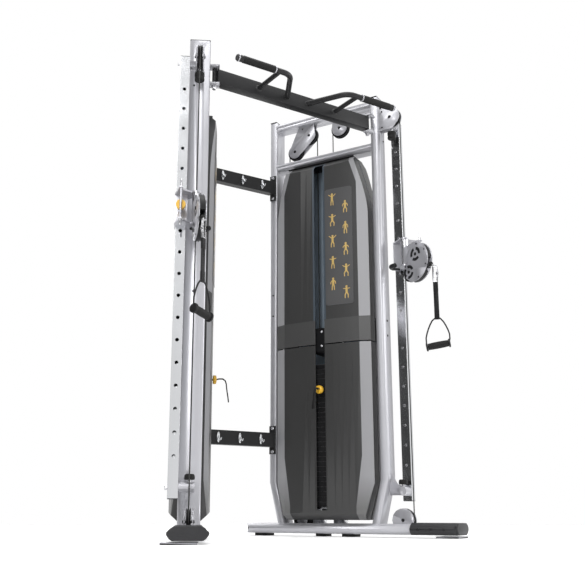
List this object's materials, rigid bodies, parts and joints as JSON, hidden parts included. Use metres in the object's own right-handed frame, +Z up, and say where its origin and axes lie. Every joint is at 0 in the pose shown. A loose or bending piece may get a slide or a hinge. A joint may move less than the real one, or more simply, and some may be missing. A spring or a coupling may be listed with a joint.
{
  "type": "functional trainer",
  "caption": "Free-standing V-shaped cable machine with a weight-stack tower on each side, height-adjustable swivel pulleys, hand grips and a pull-up beam.",
  "frame": {"origin": "centre of the bounding box on the floor", "axes": "+X to the machine's right seen from behind it towards the user, +Y to the rear, +Z up; the user stands at -Y"},
  "size_m": [1.6376, 1.128, 2.361],
  "materials": {
    "frame_silver": "light silver metallic powder coat, satin",
    "toe_black": "black moulded sleeve, fine texture",
    "foot_steel": "silver plate on a rubber pad",
    "column_chrome": "polished chrome",
    "pulley_nylon": "black glass-filled nylon",
    "cable_jacket": "black nylon-jacketed wire rope",
    "cover_charcoal": "charcoal vacuum-formed cover, satin",
    "plate_black": "black painted plates",
    "head_black": "black steel",
    "rod_chrome": "ground and chromed bar",
    "pin_yellow": "yellow moulded knob on a steel shaft",
    "carriage_silver": "silver paint, satin",
    "arm_silver": "silver plates, satin",
    "strap_black": "black woven webbing with a steel frame",
    "grip_rubber": "black moulded grip",
    "beam_black": "black powder coat, satin"
  },
  "bodies": {
    "frame": {"tower_frame_right": "frame_silver", "toe_cover_right": "toe_black", "foot_plate_right": "foot_steel", "guide_column_right": "column_chrome", "cable_right": "cable_jacket", "cable_fall_right": "cable_jacket", "upper_cover_right": "cover_charcoal", "lower_cover_right": "cover_charcoal", "rear_cover_right": "cover_charcoal", "resting_plates_right": "plate_black", "guide_rods_right": "rod_chrome", "tower_frame_left": "frame_silver", "toe_cover_left": "toe_black", "foot_plate_left": "foot_steel", "guide_column_left": "column_chrome", "cable_left": "cable_jacket", "cable_fall_left": "cable_jacket", "upper_cover_left": "cover_charcoal", "lower_cover_left": "cover_charcoal", "rear_cover_left": "cover_charcoal", "resting_plates_left": "plate_black", "guide_rods_left": "rod_chrome", "pullup_beam": "beam_black", "upper_crossbar": "beam_black", "lower_crossbar": "beam_black"},
    "stack_right": {"stack_head_right": "head_black", "lifted_plates_right": "plate_black"},
    "head_pulley_right": {"head_pulley_right": "pulley_nylon"},
    "rail_pulley_front_right": {"rail_pulley_front_right": "pulley_nylon"},
    "rail_pulley_rear_upper_right": {"rail_pulley_rear_upper_right": "pulley_nylon"},
    "rail_pulley_rear_lower_right": {"rail_pulley_rear_lower_right": "pulley_nylon"},
    "base_rear_pulley_right": {"base_rear_pulley_right": "pulley_nylon"},
    "base_pulley_right": {"base_pulley_right": "pulley_nylon"},
    "floating_pulley_right": {"floating_pulley_right": "pulley_nylon"},
    "selector_pin_right": {"selector_pin_right": "pin_yellow"},
    "carriage_right": {"carriage_right": "carriage_silver"},
    "pop_pin_right": {"pop_pin_right": "pin_yellow"},
    "pulley_arm_right": {"pulley_arm_right": "arm_silver"},
    "arm_pulley_upper_right": {"arm_pulley_upper_right": "pulley_nylon"},
    "arm_pulley_lower_right": {"arm_pulley_lower_right": "pulley_nylon"},
    "handle_right": {"handle_strap_right": "strap_black"},
    "handle_grip_right": {"handle_grip_right": "grip_rubber"},
    "stack_left": {"stack_head_left": "head_black", "lifted_plates_left": "plate_black"},
    "head_pulley_left": {"head_pulley_left": "pulley_nylon"},
    "rail_pulley_front_left": {"rail_pulley_front_left": "pulley_nylon"},
    "rail_pulley_rear_upper_left": {"rail_pulley_rear_upper_left": "pulley_nylon"},
    "rail_pulley_rear_lower_left": {"rail_pulley_rear_lower_left": "pulley_nylon"},
    "base_rear_pulley_left": {"base_rear_pulley_left": "pulley_nylon"},
    "base_pulley_left": {"base_pulley_left": "pulley_nylon"},
    "floating_pulley_left": {"floating_pulley_left": "pulley_nylon"},
    "selector_pin_left": {"selector_pin_left": "pin_yellow"},
    "carriage_left": {"carriage_left": "carriage_silver"},
    "pop_pin_left": {"pop_pin_left": "pin_yellow"},
    "pulley_arm_left": {"pulley_arm_left": "arm_silver"},
    "arm_pulley_upper_left": {"arm_pulley_upper_left": "pulley_nylon"},
    "arm_pulley_lower_left": {"arm_pulley_lower_left": "pulley_nylon"},
    "handle_left": {"handle_strap_left": "strap_black"},
    "handle_grip_left": {"handle_grip_left": "grip_rubber"}
  },
  "joints": [
    {"name": "stack_lift_right", "type": "slide", "parent": "frame", "child": "stack_right", "axis": [0, 0, 1], "range_m": [0, 0.9], "deforming": ["cable_fall_right"]},
    {"name": "head_pulley_spin_right", "type": "hinge", "parent": "frame", "child": "head_pulley_right", "pos_m": [0.59049, -0.24414, 2.235], "axis": [0.891, 0.454, 0], "continuous": true},
    {"name": "rail_pulley_front_spin_right", "type": "hinge", "parent": "frame", "child": "rail_pulley_front_right", "pos_m": [0.45066, 0.03029, 2.243], "axis": [0.891, 0.454, 0], "continuous": true},
    {"name": "rail_pulley_rear_upper_spin_right", "type": "hinge", "parent": "frame", "child": "rail_pulley_rear_upper_right", "pos_m": [0.36214, 0.20404, 2.243], "axis": [0.891, 0.454, 0], "continuous": true},
    {"name": "rail_pulley_rear_lower_spin_right", "type": "hinge", "parent": "frame", "child": "rail_pulley_rear_lower_right", "pos_m": [0.31978, 0.28717, 2.161], "axis": [0.891, 0.454, 0], "continuous": true},
    {"name": "base_rear_pulley_spin_right", "type": "hinge", "parent": "frame", "child": "base_rear_pulley_right", "pos_m": [0.3349, 0.2575, 0.082], "axis": [0.891, 0.454, 0], "continuous": true},
    {"name": "base_pulley_spin_right", "type": "hinge", "parent": "frame", "child": "base_pulley_right", "pos_m": [0.59049, -0.24414, 0.082], "axis": [0.891, 0.454, 0], "continuous": true},
    {"name": "floating_pulley_spin_right", "type": "hinge", "parent": "stack_right", "child": "floating_pulley_right", "pos_m": [0.40527, 0.11939, 1.03], "axis": [0.891, 0.454, 0], "continuous": true},
    {"name": "selector_pin_pull_right", "type": "slide", "parent": "stack_right", "child": "selector_pin_right", "axis": [-0.891, -0.454, 0], "range_m": [0, 0.12]},
    {"name": "carriage_slide_right", "type": "slide", "parent": "frame", "child": "carriage_right", "axis": [0, 0, 1], "range_m": [-0.8, 0.5]},
    {"name": "pop_pin_travel_right", "type": "slide", "parent": "carriage_right", "child": "pop_pin_right", "axis": [0.454, -0.891, 0], "range_m": [-0.014, 0]},
    {"name": "arm_swivel_right", "type": "hinge", "parent": "carriage_right", "child": "pulley_arm_right", "pos_m": [0.6141, -0.29047, 1.45], "axis": [0, 0, 1], "range_deg": [-60, 50]},
    {"name": "arm_pulley_upper_spin_right", "type": "hinge", "parent": "pulley_arm_right", "child": "arm_pulley_upper_right", "pos_m": [0.6141, -0.38947, 1.413], "axis": [1, 0, 0], "continuous": true},
    {"name": "arm_pulley_lower_spin_right", "type": "hinge", "parent": "pulley_arm_right", "child": "arm_pulley_lower_right", "pos_m": [0.6141, -0.33547, 1.328], "axis": [1, 0, 0], "continuous": true},
    {"name": "handle_swing_right", "type": "hinge", "parent": "pulley_arm_right", "child": "handle_right", "pos_m": [0.6141, -0.48447, 1.338], "axis": [-1, 0, 0], "range_deg": [-12, 60]},
    {"name": "grip_spin_right", "type": "hinge", "parent": "handle_right", "child": "handle_grip_right", "pos_m": [0.6141, -0.51147, 0.916], "axis": [0.6986, -0.6986, 0.1544], "continuous": true},
    {"name": "stack_lift_left", "type": "slide", "parent": "frame", "child": "stack_left", "axis": [0, 0, 1], "range_m": [0, 0.9], "deforming": ["cable_fall_left"]},
    {"name": "head_pulley_spin_left", "type": "hinge", "parent": "frame", "child": "head_pulley_left", "pos_m": [-0.59049, -0.24414, 2.235], "axis": [0.891, -0.454, 0], "continuous": true},
    {"name": "rail_pulley_front_spin_left", "type": "hinge", "parent": "frame", "child": "rail_pulley_front_left", "pos_m": [-0.45066, 0.03029, 2.243], "axis": [0.891, -0.454, 0], "continuous": true},
    {"name": "rail_pulley_rear_upper_spin_left", "type": "hinge", "parent": "frame", "child": "rail_pulley_rear_upper_left", "pos_m": [-0.36214, 0.20404, 2.243], "axis": [0.891, -0.454, 0], "continuous": true},
    {"name": "rail_pulley_rear_lower_spin_left", "type": "hinge", "parent": "frame", "child": "rail_pulley_rear_lower_left", "pos_m": [-0.31978, 0.28717, 2.161], "axis": [0.891, -0.454, 0], "continuous": true},
    {"name": "base_rear_pulley_spin_left", "type": "hinge", "parent": "frame", "child": "base_rear_pulley_left", "pos_m": [-0.3349, 0.2575, 0.082], "axis": [0.891, -0.454, 0], "continuous": true},
    {"name": "base_pulley_spin_left", "type": "hinge", "parent": "frame", "child": "base_pulley_left", "pos_m": [-0.59049, -0.24414, 0.082], "axis": [0.891, -0.454, 0], "continuous": true},
    {"name": "floating_pulley_spin_left", "type": "hinge", "parent": "stack_left", "child": "floating_pulley_left", "pos_m": [-0.40527, 0.11939, 1.03], "axis": [0.891, -0.454, 0], "continuous": true},
    {"name": "selector_pin_pull_left", "type": "slide", "parent": "stack_left", "child": "selector_pin_left", "axis": [0.891, -0.454, 0], "range_m": [0, 0.12]},
    {"name": "carriage_slide_left", "type": "slide", "parent": "frame", "child": "carriage_left", "axis": [0, 0, 1], "range_m": [-0.8, 0.5]},
    {"name": "pop_pin_travel_left", "type": "slide", "parent": "carriage_left", "child": "pop_pin_left", "axis": [-0.454, -0.891, 0], "range_m": [-0.014, 0]},
    {"name": "arm_swivel_left", "type": "hinge", "parent": "carriage_left", "child": "pulley_arm_left", "pos_m": [-0.6141, -0.29047, 1.45], "axis": [0, 0, -1], "range_deg": [-78, 32]},
    {"name": "arm_pulley_upper_spin_left", "type": "hinge", "parent": "pulley_arm_left", "child": "arm_pulley_upper_left", "pos_m": [-0.64469, -0.38462, 1.413], "axis": [0.9511, -0.309, 0], "continuous": true},
    {"name": "arm_pulley_lower_spin_left", "type": "hinge", "parent": "pulley_arm_left", "child": "arm_pulley_lower_left", "pos_m": [-0.62801, -0.33327, 1.328], "axis": [0.9511, -0.309, 0], "continuous": true},
    {"name": "handle_swing_left", "type": "hinge", "parent": "pulley_arm_left", "child": "handle_left", "pos_m": [-0.67405, -0.47497, 1.338], "axis": [-0.9511, 0.309, 0], "range_deg": [-12, 60]},
    {"name": "grip_spin_left", "type": "hinge", "parent": "handle_left", "child": "handle_grip_left", "pos_m": [-0.68239, -0.50065, 0.916], "axis": [0.8803, 0.4485, -0.1544], "continuous": true}
  ],
  "couplings": [
    {"joint": "head_pulley_spin_right", "follows": "stack_lift_right", "rad_per_m": 19.231},
    {"joint": "rail_pulley_front_spin_right", "follows": "stack_lift_right", "rad_per_m": 20},
    {"joint": "rail_pulley_rear_upper_spin_right", "follows": "stack_lift_right", "rad_per_m": -22.222},
    {"joint": "rail_pulley_rear_lower_spin_right", "follows": "stack_lift_right", "rad_per_m": -22.222},
    {"joint": "base_rear_pulley_spin_right", "follows": "stack_lift_right", "rad_per_m": -19.231},
    {"joint": "base_pulley_spin_right", "follows": "stack_lift_right", "rad_per_m": -19.231},
    {"joint": "floating_pulley_spin_right", "follows": "carriage_slide_right", "rad_per_m": 20},
    {"joint": "arm_pulley_upper_spin_right", "follows": "stack_lift_right", "rad_per_m": -23.256},
    {"joint": "arm_pulley_lower_spin_right", "follows": "stack_lift_right", "rad_per_m": 22.222},
    {"joint": "head_pulley_spin_left", "follows": "stack_lift_left", "rad_per_m": 19.231},
    {"joint": "rail_pulley_front_spin_left", "follows": "stack_lift_left", "rad_per_m": 20},
    {"joint": "rail_pulley_rear_upper_spin_left", "follows": "stack_lift_left", "rad_per_m": -22.222},
    {"joint": "rail_pulley_rear_lower_spin_left", "follows": "stack_lift_left", "rad_per_m": -22.222},
    {"joint": "base_rear_pulley_spin_left", "follows": "stack_lift_left", "rad_per_m": -19.231},
    {"joint": "base_pulley_spin_left", "follows": "stack_lift_left", "rad_per_m": -19.231},
    {"joint": "floating_pulley_spin_left", "follows": "carriage_slide_left", "rad_per_m": 20},
    {"joint": "arm_pulley_upper_spin_left", "follows": "stack_lift_left", "rad_per_m": -23.256},
    {"joint": "arm_pulley_lower_spin_left", "follows": "stack_lift_left", "rad_per_m": 22.222}
  ]
}
